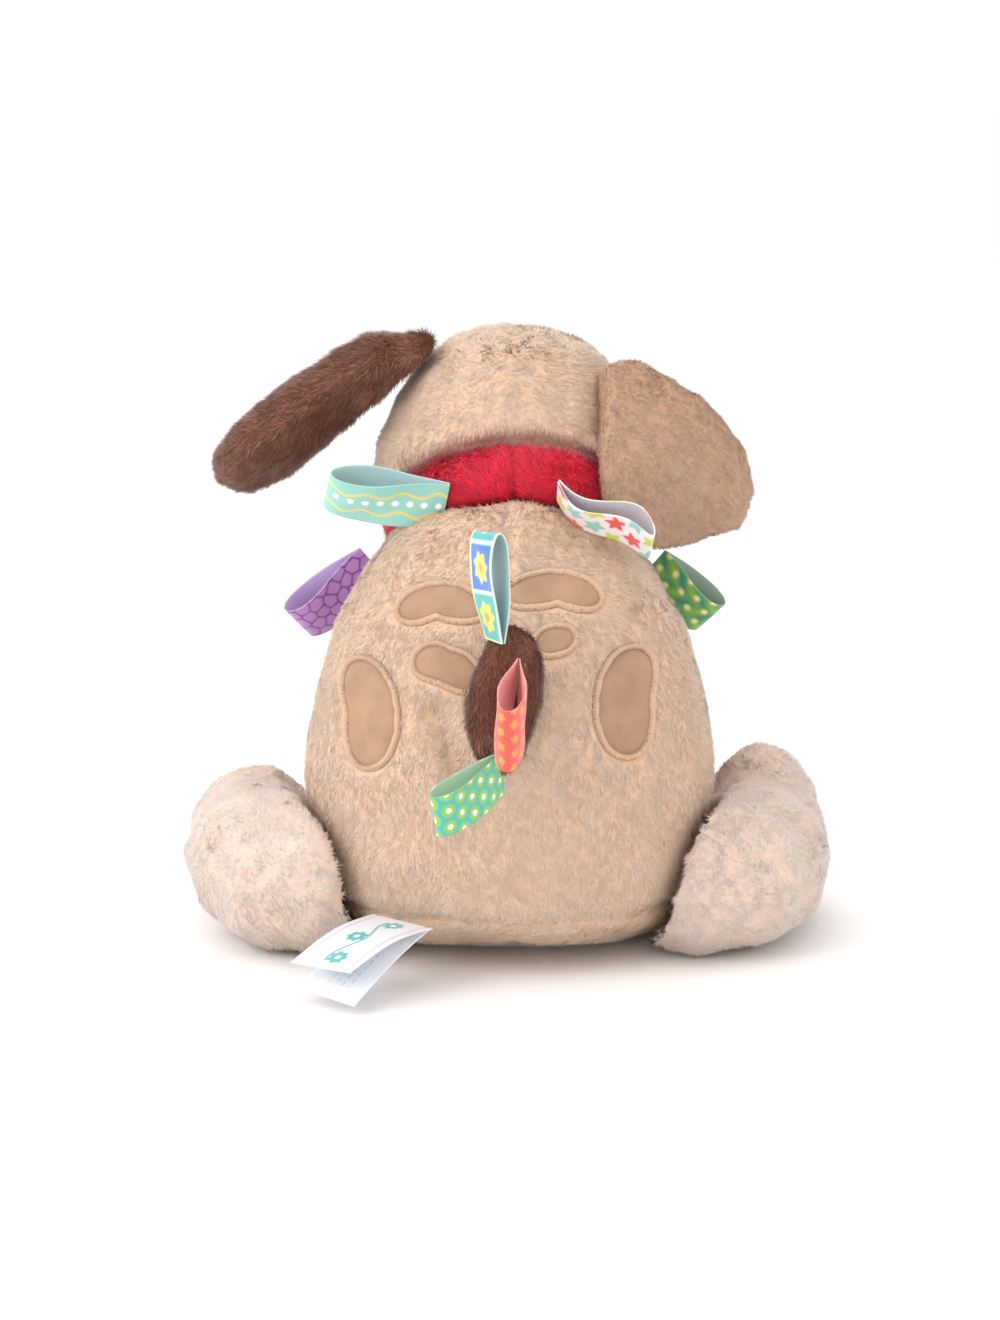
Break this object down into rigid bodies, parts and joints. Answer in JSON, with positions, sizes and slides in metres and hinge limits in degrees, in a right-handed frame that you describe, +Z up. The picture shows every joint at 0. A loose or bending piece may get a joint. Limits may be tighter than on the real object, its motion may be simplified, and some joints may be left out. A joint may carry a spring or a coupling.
{
  "type": "plush dog",
  "caption": "Seated plush puppy with one brown and one tan ear, red collar, suede back patches and satin ribbon loops to pull.",
  "frame": {"origin": "on the floor under the middle of the whole toy's box", "axes": "+Z up, the puppy looks along -Y, +X is its left side"},
  "size_m": [0.2728, 0.2936, 0.2449],
  "materials": {
    "beige_plush": "matte",
    "cream_plush": "matte",
    "white_plush": "matte",
    "brown_plush": "matte",
    "tan_plush": "matte",
    "red_plush": "matte",
    "suede": "matte",
    "satin_thread": "satin",
    "dark_thread": "satin",
    "stuffing": "matte",
    "teal_ribbon": "satin",
    "purple_ribbon": "satin",
    "green_ribbon": "satin",
    "orange_ribbon": "satin",
    "yellow_ribbon": "satin",
    "white_ribbon": "satin",
    "label_cloth": "satin"
  },
  "bodies": {
    "torso": {"back_left": "beige_plush", "back_right": "beige_plush", "belly": "cream_plush", "seat": "beige_plush", "body_stuffing": "stuffing", "collar_left": "red_plush", "collar_right": "red_plush", "patch_side_left": "suede", "patch_edge_side_left": "satin_thread", "patch_side_right": "suede", "patch_edge_side_right": "satin_thread", "patch_upper_left": "suede", "patch_edge_upper_left": "satin_thread", "patch_upper_right": "suede", "patch_edge_upper_right": "satin_thread", "patch_lower_left": "suede", "patch_edge_lower_left": "satin_thread", "patch_lower_right": "suede", "patch_edge_lower_right": "satin_thread"},
    "neck": {"neck_stuffing": "stuffing"},
    "head": {"head_gusset": "beige_plush", "head_side_left": "beige_plush", "head_side_right": "beige_plush", "muzzle_left": "white_plush", "muzzle_right": "white_plush", "head_stuffing": "stuffing", "nose": "dark_thread", "eye_left": "dark_thread", "eye_right": "dark_thread"},
    "ear_left": {"ear_left_front": "brown_plush", "ear_left_back": "brown_plush", "ear_left_stuffing": "stuffing"},
    "ear_right": {"ear_right_front": "tan_plush", "ear_right_back": "tan_plush", "ear_right_stuffing": "stuffing"},
    "tail": {"tail_left": "brown_plush", "tail_right": "brown_plush", "tail_stuffing": "stuffing"},
    "hind_leg_left": {"hind_leg_left_cover": "cream_plush", "hind_leg_left_sole": "white_plush", "hind_leg_left_stuffing": "stuffing"},
    "hind_leg_right": {"hind_leg_right_cover": "cream_plush", "hind_leg_right_sole": "white_plush", "hind_leg_right_stuffing": "stuffing"},
    "front_leg_left": {"front_leg_left_cover": "cream_plush", "front_leg_left_sole": "white_plush", "front_leg_left_stuffing": "stuffing"},
    "front_leg_right": {"front_leg_right_cover": "cream_plush", "front_leg_right_sole": "white_plush", "front_leg_right_stuffing": "stuffing"},
    "tag_yellow": {"tag_yellow": "yellow_ribbon"},
    "tag_red": {"tag_red": "orange_ribbon"},
    "tag_green": {"tag_green": "green_ribbon"},
    "tag_teal": {"tag_teal": "teal_ribbon"},
    "tag_stars": {"tag_stars": "white_ribbon"},
    "tag_purple": {"tag_purple": "purple_ribbon"},
    "tag_dots": {"tag_dots": "green_ribbon"},
    "care_label": {"label_upper": "label_cloth", "label_lower": "label_cloth"}
  },
  "joints": [
    {"name": "neck_turn", "type": "hinge", "parent": "torso", "child": "neck", "pos_m": [-0.00264, -0.0398, 0.16], "axis": [0, -0.6428, 0.766], "range_deg": [-10, 10], "stiffness_Nm_per_rad": 0.3},
    {"name": "neck_nod", "type": "hinge", "parent": "neck", "child": "head", "pos_m": [-0.00264, -0.0398, 0.16], "axis": [1, 0, 0], "range_deg": [-5, 8], "stiffness_Nm_per_rad": 0.6},
    {"name": "ear_left_flap", "type": "hinge", "parent": "head", "child": "ear_left", "pos_m": [0.03236, -0.0558, 0.229], "axis": [0, 1, 0], "range_deg": [-12, 25], "stiffness_Nm_per_rad": 0.06},
    {"name": "ear_right_flap", "type": "hinge", "parent": "head", "child": "ear_right", "pos_m": [-0.04464, -0.0458, 0.229], "axis": [0.7507, -0.6606, 0], "range_deg": [-3, 10], "stiffness_Nm_per_rad": 0.06},
    {"name": "tail_wag", "type": "hinge", "parent": "torso", "child": "tail", "pos_m": [0.00336, 0.0542, 0.113], "axis": [0, 0, 1], "range_deg": [-15, 15], "stiffness_Nm_per_rad": 0.05},
    {"name": "hind_leg_left_swing", "type": "hinge", "parent": "torso", "child": "hind_leg_left", "pos_m": [0.05736, 0.0142, 0.035], "axis": [0, 0, 1], "range_deg": [-8, 12], "stiffness_Nm_per_rad": 0.3},
    {"name": "hind_leg_right_swing", "type": "hinge", "parent": "torso", "child": "hind_leg_right", "pos_m": [-0.05864, 0.0142, 0.035], "axis": [0, 0, 1], "range_deg": [-12, 8], "stiffness_Nm_per_rad": 0.3},
    {"name": "front_leg_left_swing", "type": "hinge", "parent": "torso", "child": "front_leg_left", "pos_m": [0.05136, -0.0518, 0.104], "axis": [1, 0, 0], "range_deg": [-12, 18], "stiffness_Nm_per_rad": 0.3},
    {"name": "front_leg_right_swing", "type": "hinge", "parent": "torso", "child": "front_leg_right", "pos_m": [-0.05264, -0.0518, 0.104], "axis": [1, 0, 0], "range_deg": [-12, 18], "stiffness_Nm_per_rad": 0.3},
    {"name": "tag_yellow_flap", "type": "hinge", "parent": "tail", "child": "tag_yellow", "pos_m": [0.00536, 0.0962, 0.146], "axis": [-0.3002, 0.9507, 0.0781], "range_deg": [-15, 15], "stiffness_Nm_per_rad": 0.0015},
    {"name": "tag_red_flap", "type": "hinge", "parent": "tail", "child": "tag_red", "pos_m": [-0.00264, 0.1052, 0.125], "axis": [0, -0.507, -0.8619], "range_deg": [-20, 20], "stiffness_Nm_per_rad": 0.0015},
    {"name": "tag_green_flap", "type": "hinge", "parent": "tail", "child": "tag_green", "pos_m": [0.00436, 0.1012, 0.093], "axis": [0.1932, 0.3421, 0.9196], "range_deg": [-15, 15], "stiffness_Nm_per_rad": 0.0015},
    {"name": "tag_teal_flap", "type": "hinge", "parent": "torso", "child": "tag_teal", "pos_m": [0.02636, -0.0008, 0.179], "axis": [-0.1726, 0, 0.985], "range_deg": [-5, 20], "stiffness_Nm_per_rad": 0.0015},
    {"name": "tag_stars_flap", "type": "hinge", "parent": "torso", "child": "tag_stars", "pos_m": [-0.02064, 0.0122, 0.187], "axis": [0.4803, 0, -0.8771], "range_deg": [-3, 20], "stiffness_Nm_per_rad": 0.0015},
    {"name": "tag_purple_flap", "type": "hinge", "parent": "torso", "child": "tag_purple", "pos_m": [0.05636, -0.0358, 0.148], "axis": [0.6, 0, 0.8], "range_deg": [-8, 4], "stiffness_Nm_per_rad": 0.0015},
    {"name": "tag_dots_flap", "type": "hinge", "parent": "torso", "child": "tag_dots", "pos_m": [-0.05964, -0.0358, 0.147], "axis": [0.6247, 0, -0.7809], "range_deg": [-8, 4], "stiffness_Nm_per_rad": 0.0015},
    {"name": "care_label_flap", "type": "hinge", "parent": "torso", "child": "care_label", "pos_m": [0.04136, 0.0652, 0.025], "axis": [0.7682, -0.6402, 0], "range_deg": [0, 20], "stiffness_Nm_per_rad": 0.002}
  ]
}
